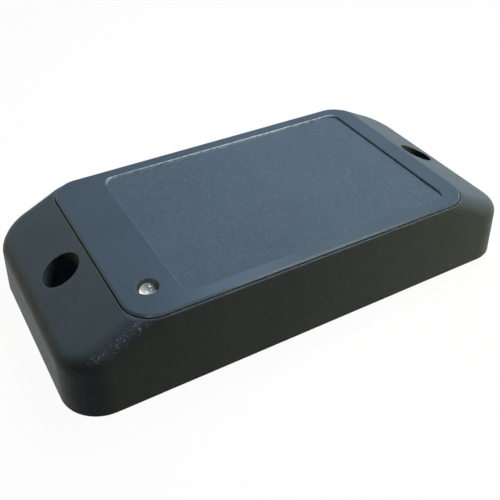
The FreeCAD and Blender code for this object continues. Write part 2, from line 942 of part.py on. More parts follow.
def make_lamp_holder():
    """The square tube that carries the lamp's flange, with the leads in its bore."""
    body = new_body("lamp_holder")
    outline = new_sketch(body, "lamp_holder_outline", offset="board_top")
    for width in ("lamp_holder_width", "lamp_holder_bore"):
        rectangle(outline, f"{width} / 2", f"{width} / 2", "lamp_x", "lamp_y")
    pad(body, outline, "lamp_base - board_top")
    return subpart(body, "lamp_holder")


# Buzzer

def make_buzzer():
    """A round sounder."""
    can = rod("buzzer", "buzzer_diameter", "buzzer_height", "buzzer_x", "0", "board_top")
    return subpart(can, "buzzer")


# Chips, on the wall side of the board

def make_package(label, half_across, half_along, height, across, along):
    """A moulded package whose walls draft both ways from the middle of its height."""
    body = new_body(label)
    outline = new_sketch(body, label + "_outline")
    rectangle(outline, half_across, half_along)
    feature = body.newObject("PartDesign::Pad", label + "_pad")
    feature.Profile = outline
    feature.SideType = "Two sides"
    bind(
        feature, Length=f"{height} / 2", Length2=f"{height} / 2",
        TaperAngle="-package_draft", TaperAngle2="-package_draft",
    )
    finish_feature(body, feature)
    place(body, across, along, f"board_height - chip_stand_off - {height} / 2")
    return subpart(body, label)


def make_profile_row(name, corners, width, pitch, count):
    """Equal strips of one profile in a row along Y, centred on the body's own origin."""
    body = new_body(name)
    profile = new_sketch(body, name + "_profile", "XZ_Plane", f"-(({count} - 1) * {pitch} + {width}) / 2")
    polygon(profile, corners)
    first = pad(body, profile, width)
    row_along(body, profile, first, "N_Axis", pitch, count)
    return body


def make_leg_row(name, half_across, height, pitch, count, across, along, turn):
    """Legs along one side of a package: each slants down to a flat foot on the board."""
    middle = f"(-chip_stand_off - {height} / 2)"
    ankle = f"({half_across} + leg_shoulder)"
    corners = [
        (half_across, f"{middle} - leg_thickness / 2"),
        (ankle, "-leg_thickness"),
        (f"{ankle} + leg_foot", "-leg_thickness"),
        (f"{ankle} + leg_foot", "0"),
        (f"{ankle} - leg_thickness", "0"),
        (half_across, f"{middle} + leg_thickness / 2"),
    ]
    body = make_profile_row(name, corners, "leg_width", pitch, count)
    body.Placement = Placement(Vector(0, 0, 0), Rotation(Vector(0, 0, 1), turn))
    place(body, across, along, "board_height")
    return body


def make_legs(label, half_across, height, pitch, count, across, along, turns):
    return group(label, [
        make_leg_row(f"{label}_row_{turn}", half_across, height, pitch, count, across, along, turn)
        for turn in turns
    ])


def make_controller():
    make_package(
        "controller_chip", "controller_size / 2", "controller_size / 2", "controller_height",
        "controller_x", "controller_y",
    )
    make_legs(
        "controller_legs", "controller_size / 2", "controller_height", "controller_leg_pitch",
        "controller_side_legs", "controller_x", "controller_y", (0, 90, 180, 270),
    )


def make_reader_chip():
    make_package(
        "reader_chip", "reader_chip_width / 2", "reader_chip_length / 2", "reader_chip_height",
        "reader_chip_x", "reader_chip_y",
    )
    make_legs(
        "reader_chip_legs", "reader_chip_width / 2", "reader_chip_height", "reader_leg_pitch",
        "reader_side_legs", "reader_chip_x", "reader_chip_y", (0, 180),
    )


# Other parts on the wall side of the board

def make_crystal():
    """A metal can with round ends, and a base flange with cut corners against the board."""
    body = new_body("crystal")
    flange = new_sketch(body, "crystal_flange_outline", offset="board_height")
    half_across = "crystal_length / 2"
    half_along = "crystal_width / 2"
    cut_rectangle(flange, half_across, half_along, "crystal_corner", "crystal_x", "crystal_y")
    pad(body, flange, "crystal_flange_height", downward=True)
    can = new_sketch(body, "crystal_can", offset="board_height")
    rounded_rectangle(
        can, f"{half_across} - crystal_flange", f"{half_along} - crystal_flange",
        "crystal_round", "crystal_x", "crystal_y",
    )
    pad(body, can, "crystal_height", downward=True)
    return subpart(body, "crystal")


def make_filter_capacitor():
    """A round can on a square base with two cut corners."""
    body = new_body("filter_capacitor")
    base = new_sketch(body, "capacitor_base_outline", offset="board_height")
    near = "capacitor_base / 2"
    corner = f"{near} - capacitor_base_cut"
    outline = [
        (f"-{near}", f"-{near}"),
        (corner, f"-{near}"),
        (near, f"-({corner})"),
        (near, corner),
        (corner, near),
        (f"-{near}", near),
    ]
    polygon(base, [(f"capacitor_x + ({across})", f"capacitor_y + ({up})") for across, up in outline])
    pad(body, base, "capacitor_base_height", downward=True)
    can = new_sketch(body, "capacitor_can", offset="board_height")
    circle(can, "capacitor_diameter", "capacitor_x", "capacitor_y")
    pad(body, can, "capacitor_base_height + capacitor_height", downward=True)
    return subpart(body, "filter_capacitor")


def make_hanging_row(label, sizes, across, along, pitch, count):
    """Equal small blocks in a row along X, each with its top on the board."""
    return group(label, [
        block(f"{label}_{index + 1}", sizes, f"{across} + {index} * {pitch}", along,
              f"board_height - {sizes[2]}")
        for index in range(whole(count))
    ])


def make_voltage_regulator():
    """A moulded body with a metal tab behind it and two legs in front."""
    metal = "regulator_tab_thickness"
    tab_sizes = ("regulator_tab_width", "regulator_length + 2 * regulator_tab", metal)
    leg_sizes = ("regulator_leg_width", "2 * regulator_leg_length", metal)
    pieces = [
        block("regulator_body", ("regulator_width", "regulator_length", "regulator_height"),
              "regulator_x", "regulator_y", "board_height - regulator_height"),
        block("regulator_back", tab_sizes,
              "regulator_x", "regulator_y + regulator_tab / 2", f"board_height - {metal}"),
    ]
    for index, sign in enumerate(("-", "+"), start=1):
        pieces.append(block(
            f"regulator_leg_{index}", leg_sizes, f"regulator_x {sign} regulator_leg_spread / 2",
            "regulator_y - regulator_length / 2", f"board_height - {metal}",
        ))
    return subpart(fuse("voltage_regulator", pieces), "voltage_regulator")


def make_choke():
    """A shielded coil: a square block with cut corners."""
    body = new_body("choke")
    outline = new_sketch(body, "choke_outline", offset="board_height")
    cut_rectangle(outline, "choke_size / 2", "choke_size / 2", "choke_corner", "choke_x", "choke_y")
    pad(body, outline, "choke_height", downward=True)
    return subpart(body, "choke")


def make_input_diode():
    """A moulded diode with a foot at each end."""
    feet_sizes = ("diode_length + 2 * diode_foot_reach", "diode_foot_width", "diode_foot_thickness")
    pieces = [
        block("diode_body", ("diode_length", "diode_width", "diode_height"),
              "diode_x", "diode_y", "board_height - diode_height"),
        block("diode_feet", feet_sizes, "diode_x", "diode_y", "board_height - diode_foot_thickness"),
    ]
    return subpart(fuse("input_diode", pieces), "input_diode")


def make_transistors():
    """Small three-legged transistors in a row: two legs on one side and one on the other."""
    made = []
    for index in range(whole("transistor_count")):
        along = f"transistor_y + {index} * transistor_pitch"
        reach = "transistor_width / 2 + transistor_leg / 2"
        legs = (
            (f"transistor_x - ({reach})", f"{along} - transistor_leg_spread / 2"),
            (f"transistor_x - ({reach})", f"{along} + transistor_leg_spread / 2"),
            (f"transistor_x + ({reach})", along),
        )
        name = f"transistor_{index + 1}"
        pieces = [
            block(name + "_body", ("transistor_width", "transistor_length", "transistor_height"),
                  "transistor_x", along, "board_height - transistor_height"),
        ]
        for leg, (leg_across, leg_along) in enumerate(legs, start=1):
            pieces.append(block(
                f"{name}_leg_{leg}", ("transistor_leg", "transistor_leg_width", "leg_thickness"),
                leg_across, leg_along, "board_height - leg_thickness",
            ))
        made.append(fuse(name, pieces))
    return group("transistors", made)


# Cable header

def make_cable_header():
    """A shrouded header, open towards the wall, whose floor has a slot for the foot of each pin."""
    body = new_body("cable_header")
    outline = new_sketch(body, "header_outline", offset="board_height")
    rectangle(outline, "header_width / 2", "header_length / 2", "header_x")
    pad(body, outline, "header_height", downward=True)
    opening = new_sketch(body, "header_opening", offset="board_height - header_height")
    rectangle(
        opening, "header_width / 2 - header_wall", "header_length / 2 - header_wall", "header_x",
    )
    pocket(body, opening, "header_height - header_floor", upward=True)
    half_row = "header_pin_pitch * (header_pins - 1) / 2"
    rows = [f"{index} * header_pin_pitch - {half_row}" for index in range(whole("header_pins"))]
    pin_holes = new_sketch(body, "header_pin_holes", offset="board_height")
    for along in rows:
        rectangle(pin_holes, "header_pin / 2", "header_pin / 2", "header_x", along)
    pocket(body, pin_holes, "header_floor")
    foot_slots = new_sketch(body, "header_foot_slots", offset="board_height")
    for along in rows:
        rectangle(
            foot_slots, f"(header_width + {OVERRUN}) / 4", "header_pin / 2",
            f"header_x + (header_width + {OVERRUN}) / 4", along,
        )
    pocket(body, foot_slots, "header_foot_thickness")
    return subpart(body, "cable_header")


def make_header_pins():
    """Square pins that stand out of the header's floor, each with a foot that lies on the board."""
    half_pin = "header_pin / 2"
    far = "header_width / 2 + header_foot_reach"
    tip = "-header_floor - header_pin_reach"
    body = make_profile_row("header_pins", [
        (f"-{half_pin}", "0"),
        (f"-{half_pin}", tip),
        (half_pin, tip),
        (half_pin, "-header_foot_thickness"),
        (far, "-header_foot_thickness"),
        (far, "0"),
    ], "header_pin", "header_pin_pitch", "header_pins")
    place(body, "header_x", "0", "board_height")
    return subpart(body, "header_pins")


# Build

make_housing(make_hollow())
make_face_cover()
make_back_plate()
make_back_seal()
make_cable_grommet()
make_back_screws()
make_board_screws()
make_circuit_board()
make_antenna_coil()
make_coil_leads()
make_indicator_lamp()
make_pins("lamp_leads", lamp_lead_places(), "lamp_base")
make_lamp_holder()
make_buzzer()
make_pins("buzzer_pins", buzzer_pin_places(), "board_top")
make_controller()
make_reader_chip()
make_crystal()
make_filter_capacitor()
make_hanging_row(
    "tuning_capacitors", ("tuning_width", "tuning_length", "tuning_height"),
    "tuning_x", "tuning_y", "tuning_pitch", "tuning_count",
)
make_hanging_row(
    "chip_resistors", ("chip_width", "chip_length", "resistor_height"),
    "resistor_x", "resistor_y", "resistor_pitch", "resistor_count",
)
make_hanging_row(
    "chip_capacitors", ("chip_width", "chip_length", "small_capacitor_height"),
    "small_capacitor_x", "small_capacitor_y", "small_capacitor_pitch", "small_capacitor_count",
)
make_voltage_regulator()
make_choke()
make_input_diode()
make_transistors()
make_cable_header()
make_header_pins()
document.recompute()

for item in document.Objects:
    if "Invalid" in item.State or "Error" in item.State:
        raise RuntimeError(f"{item.Name} did not build: {item.State}")
for item in subparts:
    if item.Shape.isNull() or not item.Shape.isValid() or not item.Shape.Solids:
        raise RuntimeError(f"{item.Label} has no valid solid")

os.makedirs("parts", exist_ok=True)
for item in subparts:
    item.Shape.exportStep(f"parts/{item.Label}.step")
    print(f"{item.Label}: {len(item.Shape.Solids)} solids, {item.Shape.Volume:.1f} mm3")
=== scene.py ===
import math

import bmesh
import bpy
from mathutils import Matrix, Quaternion, Vector


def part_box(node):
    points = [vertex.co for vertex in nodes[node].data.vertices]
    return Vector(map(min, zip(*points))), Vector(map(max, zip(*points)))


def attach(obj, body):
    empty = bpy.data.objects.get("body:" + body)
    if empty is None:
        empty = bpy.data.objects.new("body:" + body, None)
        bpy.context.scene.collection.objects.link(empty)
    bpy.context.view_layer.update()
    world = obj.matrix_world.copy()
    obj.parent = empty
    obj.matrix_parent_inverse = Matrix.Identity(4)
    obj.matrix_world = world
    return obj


# Access control card reader: finishes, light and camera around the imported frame
# Everything is in metres, in the frame of the CAD model, and colours are linear

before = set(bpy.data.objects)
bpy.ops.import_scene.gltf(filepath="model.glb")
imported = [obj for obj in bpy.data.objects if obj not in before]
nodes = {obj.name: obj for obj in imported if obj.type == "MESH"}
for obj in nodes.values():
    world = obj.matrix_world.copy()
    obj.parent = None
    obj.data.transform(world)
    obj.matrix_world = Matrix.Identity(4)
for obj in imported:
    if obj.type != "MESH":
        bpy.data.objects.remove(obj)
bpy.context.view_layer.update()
MM = 0.001

# The photograph's view, on a picture of 500 by 500 pixels
CAMERA_PLACE = Vector((-60.55, -99.07, 97.25)) * MM
CAMERA_TARGET = Vector((-5.03, -5.29, 8.0)) * MM
CAMERA_ROLL = math.radians(0.89)
CAMERA_LENS = 50.14
CAMERA_CLIP_START = 5 * MM
SENSOR_WIDTH = 36.0

# Heights and places that the finishes need, read from the frame
cover_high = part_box("face_cover")[1]
lamp_low, lamp_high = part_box("indicator_lamp")
lamp_middle = (lamp_low + lamp_high) / 2

# The label recess is this deep in the CAD model
RECESS_DEPTH = 0.6 * MM

# Gloss and edges of the moulded plastics
COAT_WEIGHT = 0.15
WORN_COAT_WEIGHT = 0.22
RECESS_COAT_WEIGHT = 0.6 * COAT_WEIGHT
EDGE_COAT_WEIGHT = 0.35
COAT_IOR = 1.5
EDGE_ROUNDING = 0.25 * MM

# How much of each colour shows where its mask is full
GRAIN_SHARE = 0.13
# Share of the housing's paler edges: partly wear, partly a painted highlight
HOUSING_EDGE_WEAR_AND_HIGHLIGHT_SHARE = 0.12
COVER_EDGE_WEAR_AND_HIGHLIGHT_SHARE = 0.4
SIDE_PAINTED_LIGHT_SHARE = 0.7
SEAM_PALE_SHARE = 0.7
WEAVE_SHARE = 0.3

# Colours of the housing
HOUSING_COLOUR = (0.067, 0.096, 0.121, 1)
HOUSING_DUST = (0.3, 0.31, 0.31, 1)
SEAM_BROWN_COLOUR = (0.3, 0.24, 0.22, 1)

# Colours of the cover
COVER_COLOUR = (0.074, 0.107, 0.15, 1)
# Paler blue for the cover's edges: partly wear, partly a painted highlight
COVER_EDGE_WEAR_AND_HIGHLIGHT_COLOUR = (0.085, 0.15, 0.23, 1)
# Paler colour of the steep sides: painted light
COVER_SIDE_PAINTED_LIGHT_COLOUR = (0.16, 0.19, 0.21, 1)
COVER_DUST = (0.45, 0.48, 0.5, 1)
MARGIN_TINT = (0.96, 0.96, 0.96, 1)
RECESS_TINT = (1.1, 1.09, 1.07, 1)
GREENISH_GRAIN = (0.095, 0.165, 0.195, 1)
PURPLISH_GRAIN = (0.135, 0.15, 0.215, 1)
# Colour of the painted highlight on the far walls
FAR_WALL_HIGHLIGHT_COLOUR = (0.42, 0.56, 0.7, 1)
SEAM_PALE_COLOUR = (0.28, 0.4, 0.5, 1)

# Colours of the lamp's resin and of the dish inside it; the dish's near and far colours are painted light
# and painted shade
RESIN_COLOUR = (0.96, 0.95, 0.9, 1)
RESIN_SHADOW_COLOUR = (0.92, 0.91, 0.86, 1)
RESIN_IOR = 1.52
DISH_COLOUR = (0.7, 0.68, 0.56, 1)
DISH_PAINTED_SHADE_COLOUR = (0.012, 0.015, 0.022, 1)
DISH_MIDDLE_COLOUR = (0.26, 0.29, 0.3, 1)
DISH_PAINTED_LIT_COLOUR = (0.95, 0.97, 0.78, 1)

# Colours of the board and the coil
SOLDER_MASK_COLOUR = (0.012, 0.095, 0.04, 1)
MASK_OVER_COPPER = (0.03, 0.17, 0.07, 1)
MASK_OVER_WEAVE = (0.02, 0.13, 0.05, 1)
LAMINATE_COLOUR = (0.42, 0.36, 0.18, 1)
WIRE_COLOUR = (0.45, 0.15, 0.05, 1)
WIRE_DEEP_COLOUR = (0.36, 0.11, 0.035, 1)
WIRE_PALE_COLOUR = (0.55, 0.2, 0.07, 1)

# Floor and world
FLOOR_HALF_WIDTH = 2.0
FLOOR_HEIGHT = -0.05 * MM
BOUNCE_COLOUR = (0.07, 0.05, 0.035, 1)
LIT_SHARE = 0.05
SKY_COLOUR = (0.88, 0.96, 1.0, 1)
WHITE = (1, 1, 1, 1)

# Places of the Mix node's colour sockets, which come after those for numbers and vectors
MIX_FACTOR = 0
MIX_FIRST_COLOUR = 6
MIX_SECOND_COLOUR = 7
MIX_RESULT_COLOUR = 2


# Node helpers

def feed(tree, socket, value):
    """Give a socket its value, or link it to another socket."""
    if isinstance(value, bpy.types.NodeSocket):
        tree.links.new(value, socket)
    else:
        socket.default_value = value


def add(tree, kind, inputs=None, **settings):
    """Add a shader node with its settings and inputs."""
    made = tree.nodes.new("ShaderNode" + kind)
    for name, value in settings.items():
        setattr(made, name, value)
    for name, value in (inputs or {}).items():
        feed(tree, made.inputs[name], value)
    return made


def maths(tree, operation, *values):
    """The result of one Math node."""
    made = add(tree, "Math", operation=operation)
    for place, value in enumerate(values):
        feed(tree, made.inputs[place], value)
    return made.outputs["Value"]


def times(tree, first, *others):
    """The product of all the values."""
    for other in others:
        first = maths(tree, "MULTIPLY", first, other)
    return first


def vectors(tree, operation, *values, output="Vector"):
    """The result of one Vector Math node."""
    return add(tree, "VectorMath", dict(enumerate(values)), operation=operation).outputs[output]


def smooth_step(tree, value, low, high):
    """0 at low, 1 at high, with a soft passage between; low may be the larger of the two."""
    made = add(
        tree, "MapRange", {"Value": value, "From Min": low, "From Max": high},
        interpolation_type="SMOOTHSTEP",
    )
    return made.outputs["Result"]


def spread(tree, value, low, high):
    """Stretch a value from 0..1 to low..high."""
    made = add(tree, "MapRange", {"Value": value, "To Min": low, "To Max": high})
    return made.outputs["Result"]


def mix_colours(tree, factor, first, second, blend="MIX"):
    """The first colour where the factor is 0, and the second, or the blend of both, where it is 1."""
    made = add(tree, "Mix", data_type="RGBA", blend_type=blend)
    feed(tree, made.inputs[MIX_FACTOR], factor)
    feed(tree, made.inputs[MIX_FIRST_COLOUR], first)
    feed(tree, made.inputs[MIX_SECOND_COLOUR], second)
    return made.outputs[MIX_RESULT_COLOUR]


def mix_shaders(tree, factor, first, second):
    """The first shader node where the factor is 0, and the second where it is 1."""
    return add(tree, "MixShader", {0: factor, 1: first.outputs[0], 2: second.outputs[0]})


def places(tree):
    """Points of the surface in the frame's metres."""
    return add(tree, "TexCoord").outputs["Object"]


def axes(tree, vector):
    """A vector's three parts: X, Y and Z."""
    made = add(tree, "SeparateXYZ", {"Vector": vector})
    return made.outputs["X"], made.outputs["Y"], made.outputs["Z"]


def noise(tree, point, size, detail=2.0, roughness=0.5):
    """Soft noise whose blotches are about one size across."""
    made = add(
        tree, "TexNoise",
        {"Vector": point, "Scale": 1 / size, "Detail": detail, "Roughness": roughness},
    )
    return made.outputs["Fac"]


def cells(tree, point, size):
    """Cells about one size across; outputs are each cell's random Color and the Distance from its point."""
    return add(tree, "TexVoronoi", {"Vector": point, "Scale": 1 / size}).outputs


def bump(tree, height, depth, strength, normal=None):
    """Raise and lower the surface by up to a depth."""
    inputs = {"Height": height, "Distance": depth, "Strength": strength}
    if normal is not None:
        inputs["Normal"] = normal
    return add(tree, "Bump", inputs).outputs["Normal"]


def soft_edges(tree, radius):
    """A normal that rounds the edges by a small radius."""
    return add(tree, "Bevel", {"Radius": radius}, samples=6).outputs["Normal"]


def new_material(name, colour, roughness, specular=0.5, metallic=0.0):
    """A material with one Principled shader; its tree and shader are given back with it."""
    material = bpy.data.materials.new(name)
    material.use_nodes = True
    tree = material.node_tree
    shader = tree.nodes["Principled BSDF"]
    feed(tree, shader.inputs["Base Color"], colour)
    feed(tree, shader.inputs["Roughness"], roughness)
    feed(tree, shader.inputs["Specular IOR Level"], specular)
    feed(tree, shader.inputs["Metallic"], metallic)
    material.diffuse_color = colour
    return material, tree, shader


def show(tree, made):
    """Let a shader node be what the material shows."""
    tree.links.new(made.outputs["Shader"], tree.nodes["Material Output"].inputs["Surface"])


# Moulded plastic of the housing and the cover

def shade(colour, factor):
    """A colour made darker or lighter."""
    return tuple(part * factor for part in colour[:3]) + (1,)


def edge_mask(tree, rounded):
    """1 along the edges, where the rounded normal leaves the true one, and 0 on the flats."""
    true_normal = add(tree, "NewGeometry").outputs["Normal"]
    match = vectors(tree, "DOT_PRODUCT", rounded, true_normal, output="Value")
    return smooth_step(tree, match, low=0.995, high=0.9)


def seam(tree, reach):
    """1 deep in a seam and 0 on open surfaces."""
    openness = add(tree, "AmbientOcclusion", {"Distance": reach}, samples=8).outputs["AO"]
    return smooth_step(tree, openness, low=0.85, high=0.5)


def dust(tree, point, amount):
    """Small pale specks, few and far apart."""
    speck = smooth_step(tree, cells(tree, point, size=5.2 * MM)["Distance"], low=0.035, high=0.02)
    patch = smooth_step(tree, noise(tree, point, size=9 * MM), low=0.52, high=0.6)
    return times(tree, speck, patch, amount)


def facets(tree, point, size, lean, normal):
    """A normal that leans by itself on each small facet, so that some of them sparkle."""
    centred = vectors(tree, "SUBTRACT", cells(tree, point, size)["Color"], (0.5, 0.5, 0.5))
    scaled = add(tree, "VectorMath", {0: centred, "Scale": lean}, operation="SCALE").outputs["Vector"]
    return vectors(tree, "NORMALIZE", vectors(tree, "ADD", normal, scaled))


def grain_tone(tree, point, size, sharpness):
    """A brightness of its own for every grain, from 0 to 1; the sharper, the fewer are bright."""
    grain = add(tree, "SeparateColor", {"Color": cells(tree, point, size)["Color"]}).outputs["Green"]
    return maths(tree, "POWER", grain, sharpness)


def lacquer(tree, shader, normal, roughness, weight):
    """A thin gloss over the grain."""
    feed(tree, shader.inputs["Coat Weight"], weight)
    feed(tree, shader.inputs["Coat IOR"], COAT_IOR)
    feed(tree, shader.inputs["Coat Roughness"], roughness)
    feed(tree, shader.inputs["Coat Normal"], normal)


def housing_plastic():
    """Fine sparkling grain on a dark slate moulding, with faint clouds, edges painted lighter as wear and
    painted highlight, and seams painted darker as painted shade, pale brown beside the cover.
    """
    material, tree, shader = new_material("housing_plastic", HOUSING_COLOUR, roughness=0.45, specular=0.015)
    point = places(tree)
    rounded = soft_edges(tree, EDGE_ROUNDING)
    edge_wear_and_highlight = edge_mask(tree, rounded)

    clouds = smooth_step(tree, noise(tree, point, size=14 * MM, detail=3.0), low=0.35, high=0.68)
    colour = mix_colours(tree, clouds, shade(HOUSING_COLOUR, 0.93), shade(HOUSING_COLOUR, 1.06))
    tone = grain_tone(tree, point, size=0.22 * MM, sharpness=3.0)
    colour = mix_colours(tree, times(tree, tone, GRAIN_SHARE), colour, shade(HOUSING_COLOUR, 2.0))
    colour = mix_colours(tree, dust(tree, point, amount=0.5), colour, HOUSING_DUST)
    # Edges are painted lighter: partly wear, partly a painted highlight
    colour = mix_colours(tree, times(tree, edge_wear_and_highlight, HOUSING_EDGE_WEAR_AND_HIGHLIGHT_SHARE), colour, shade(HOUSING_COLOUR, 1.8))
    height = axes(tree, point)[2]
    # Deep in the seams the colour is painted darker, a painted shade; in the seam beside the cover it turns
    # pale brown
    near_cover = smooth_step(tree, height, low=cover_high.z - 3 * MM, high=cover_high.z - 2 * MM)
    seam_shade_and_brown = mix_colours(tree, near_cover, shade(HOUSING_COLOUR, 0.6), SEAM_BROWN_COLOUR)
    colour = mix_colours(tree, seam(tree, reach=0.7 * MM), colour, seam_shade_and_brown)
    feed(tree, shader.inputs["Base Color"], colour)

    gloss_change = noise(tree, point, size=2.5 * MM, detail=4.0)
    feed(tree, shader.inputs["Roughness"], spread(tree, gloss_change, low=0.42, high=0.52))
    grain = noise(tree, point, size=0.3 * MM, detail=1.0, roughness=0.6)
    feed(tree, shader.inputs["Normal"], bump(tree, grain, depth=0.02 * MM, strength=0.6, normal=rounded))
    leaning = facets(tree, point, size=0.2 * MM, lean=0.46, normal=rounded)
    coat_weight = spread(tree, edge_wear_and_highlight, low=COAT_WEIGHT, high=WORN_COAT_WEIGHT)
    lacquer(tree, shader, leaning, roughness=0.15, weight=coat_weight)
    return material


def cover_colours(tree, point, rounded, in_recess, edge):
    """Slate, with clouds, pale grains in the recess whose brightest stand in for glints, edges painted paler
    as wear and painted highlight, steep sides painted paler as painted light, a painted highlight on the far
    wall and broken pale lines in the seams.
    """
    clouds = smooth_step(tree, noise(tree, point, size=17 * MM, detail=3.0), low=0.3, high=0.7)
    colour = mix_colours(tree, clouds, shade(COVER_COLOUR, 0.95), shade(COVER_COLOUR, 1.04))
    tint = mix_colours(tree, in_recess, MARGIN_TINT, RECESS_TINT)
    colour = mix_colours(tree, 1.0, colour, tint, blend="MULTIPLY")

    # Pale grains in the recess; the few brightest stand in for glints, a painted highlight
    hue = smooth_step(tree, noise(tree, point, size=0.8 * MM, detail=1.0), low=0.4, high=0.6)
    pale_grain_and_glint = mix_colours(tree, hue, GREENISH_GRAIN, PURPLISH_GRAIN)
    tone = grain_tone(tree, point, size=0.27 * MM, sharpness=5.0)
    colour = mix_colours(tree, times(tree, tone, in_recess), colour, pale_grain_and_glint)
    colour = mix_colours(tree, dust(tree, point, amount=0.6), colour, COVER_DUST)

    # Edges are painted paler blue: partly wear, partly a painted highlight
    colour = mix_colours(tree, times(tree, edge, COVER_EDGE_WEAR_AND_HIGHLIGHT_SHARE), colour, COVER_EDGE_WEAR_AND_HIGHLIGHT_COLOUR)
    # Steep sides are painted paler: painted light on walls that the lamps leave dark
    steep = smooth_step(tree, axes(tree, rounded)[2], low=0.5, high=0.2)
    colour = mix_colours(tree, times(tree, steep, SIDE_PAINTED_LIGHT_SHARE), colour, COVER_SIDE_PAINTED_LIGHT_COLOUR)

    # Walls in the far half that face the front get a painted highlight, broken by noise
    faces_front = smooth_step(tree, axes(tree, rounded)[1], low=-0.3, high=-0.7)
    far_half = smooth_step(tree, axes(tree, point)[1], low=0.0, high=2 * MM)
    broken = smooth_step(tree, noise(tree, point, size=0.9 * MM), low=0.4, high=0.55)
    far_wall_highlight = times(tree, faces_front, far_half, spread(tree, broken, low=0.5, high=1.0))
    colour = mix_colours(tree, far_wall_highlight, colour, FAR_WALL_HIGHLIGHT_COLOUR)
    # A broken pale line deep in the seams, along the foot of the recess walls
    seam_pale_line = times(tree, seam(tree, reach=0.35 * MM), broken, SEAM_PALE_SHARE)
    return mix_colours(tree, seam_pale_line, colour, SEAM_PALE_COLOUR)


def cover_plastic():
    """Satin margins, and a sparkling grain on the floor of the label recess."""
    material, tree, shader = new_material("cover_plastic", COVER_COLOUR, roughness=0.45, specular=0.0)
    point = places(tree)
    rounded = soft_edges(tree, EDGE_ROUNDING)
    edge = smooth_step(tree, axes(tree, rounded)[2], low=0.985, high=0.88)
    floor_height = cover_high.z - RECESS_DEPTH
    in_recess = smooth_step(
        tree, axes(tree, point)[2], low=floor_height + 0.12 * MM, high=floor_height + 0.02 * MM,
    )
    feed(tree, shader.inputs["Base Color"], cover_colours(tree, point, rounded, in_recess, edge))

    gloss_change = noise(tree, point, size=3 * MM, detail=4.0)
    feed(tree, shader.inputs["Roughness"], spread(tree, gloss_change, low=0.42, high=0.52))
    fine = noise(tree, point, size=0.4 * MM, detail=1.0)
    margin_normal = bump(tree, fine, depth=0.01 * MM, strength=0.6, normal=rounded)
    coarse = times(tree, noise(tree, point, size=0.45 * MM, detail=1.5, roughness=0.62), in_recess)
    floor_normal = bump(tree, coarse, depth=0.03 * MM, strength=0.8, normal=margin_normal)
    feed(tree, shader.inputs["Normal"], floor_normal)

    level_floor = times(tree, in_recess, maths(tree, "SUBTRACT", 1.0, edge))
    lean = spread(tree, level_floor, low=0.0, high=0.4)
    leaning = facets(tree, point, size=0.24 * MM, lean=lean, normal=margin_normal)
    flat_roughness = spread(tree, in_recess, low=0.2, high=0.13)
    coat_roughness = times(tree, flat_roughness, spread(tree, edge, low=1.0, high=0.75))
    flat_weight = spread(tree, in_recess, low=COAT_WEIGHT, high=RECESS_COAT_WEIGHT)
    coat_weight = maths(tree, "ADD", flat_weight, times(tree, edge, EDGE_COAT_WEIGHT))
    lacquer(tree, shader, leaning, coat_roughness, coat_weight)
    return material


# Clear lamp

def clear_lens():
    """Clear cast resin that lets lamp light through to what is inside it."""
    material, tree, shader = new_material("clear_lens", RESIN_COLOUR, roughness=0.03)
    feed(tree, shader.inputs["Transmission Weight"], 1.0)
    feed(tree, shader.inputs["IOR"], RESIN_IOR)
    ripple = noise(tree, places(tree), size=1.4 * MM, detail=1.0)
    feed(tree, shader.inputs["Normal"], bump(tree, ripple, depth=0.005 * MM, strength=0.2))
    clear = add(tree, "BsdfTransparent", {"Color": RESIN_SHADOW_COLOUR})
    for_shadows = add(tree, "LightPath").outputs["Is Shadow Ray"]
    show(tree, mix_shaders(tree, for_shadows, shader, clear))
    return material


# Plain finishes of the hidden pieces

def speckled(name, colour, roughness, blotch, depth, specular=0.5, metallic=0.0):
    """A plain finish: slight blotches of one size in its colour and gloss, and a bump of one depth."""
    material, tree, shader = new_material(name, colour, roughness, specular, metallic)
    point = places(tree)
    clouds = noise(tree, point, size=blotch, detail=3.0)
    colour_change = 0.12
    deep = shade(colour, 1 - colour_change)
    pale = shade(colour, 1 + colour_change)
    feed(tree, shader.inputs["Base Color"], mix_colours(tree, clouds, deep, pale))
    gloss_change = noise(tree, point, size=blotch / 3)
    smoother = 0.85 * roughness
    rougher = min(1.0, 1.15 * roughness)
    feed(tree, shader.inputs["Roughness"], spread(tree, gloss_change, low=smoother, high=rougher))
    relief = noise(tree, point, size=blotch / 6)
    feed(tree, shader.inputs["Normal"], bump(tree, relief, depth, strength=0.6))
    return material


def board_laminate():
    """Green solder mask over routed copper, with bare edges of the laminate."""
    material, tree, shader = new_material("board_laminate", SOLDER_MASK_COLOUR, roughness=0.32)
    point = places(tree)
    routes = add(
        tree, "TexBrick", {"Vector": point, "Scale": 1 / (9 * MM), "Mortar Size": 0.04, "Brick Width": 0.9},
        offset=0.5, squash=0.6,
    )
    track = maths(tree, "SUBTRACT", 1.0, routes.outputs["Fac"])
    colour = mix_colours(tree, track, MASK_OVER_COPPER, SOLDER_MASK_COLOUR)
    weave = noise(tree, point, size=0.6 * MM)
    colour = mix_colours(tree, times(tree, weave, WEAVE_SHARE), colour, MASK_OVER_WEAVE)
    upright = axes(tree, add(tree, "NewGeometry").outputs["Normal"])[2]
    on_face = smooth_step(tree, maths(tree, "ABSOLUTE", upright), low=0.4, high=0.6)
    feed(tree, shader.inputs["Base Color"], mix_colours(tree, on_face, LAMINATE_COLOUR, colour))
    feed(tree, shader.inputs["Roughness"], spread(tree, weave, low=0.26, high=0.4))
    feed(tree, shader.inputs["Normal"], bump(tree, track, depth=0.03 * MM, strength=0.5))
    return material


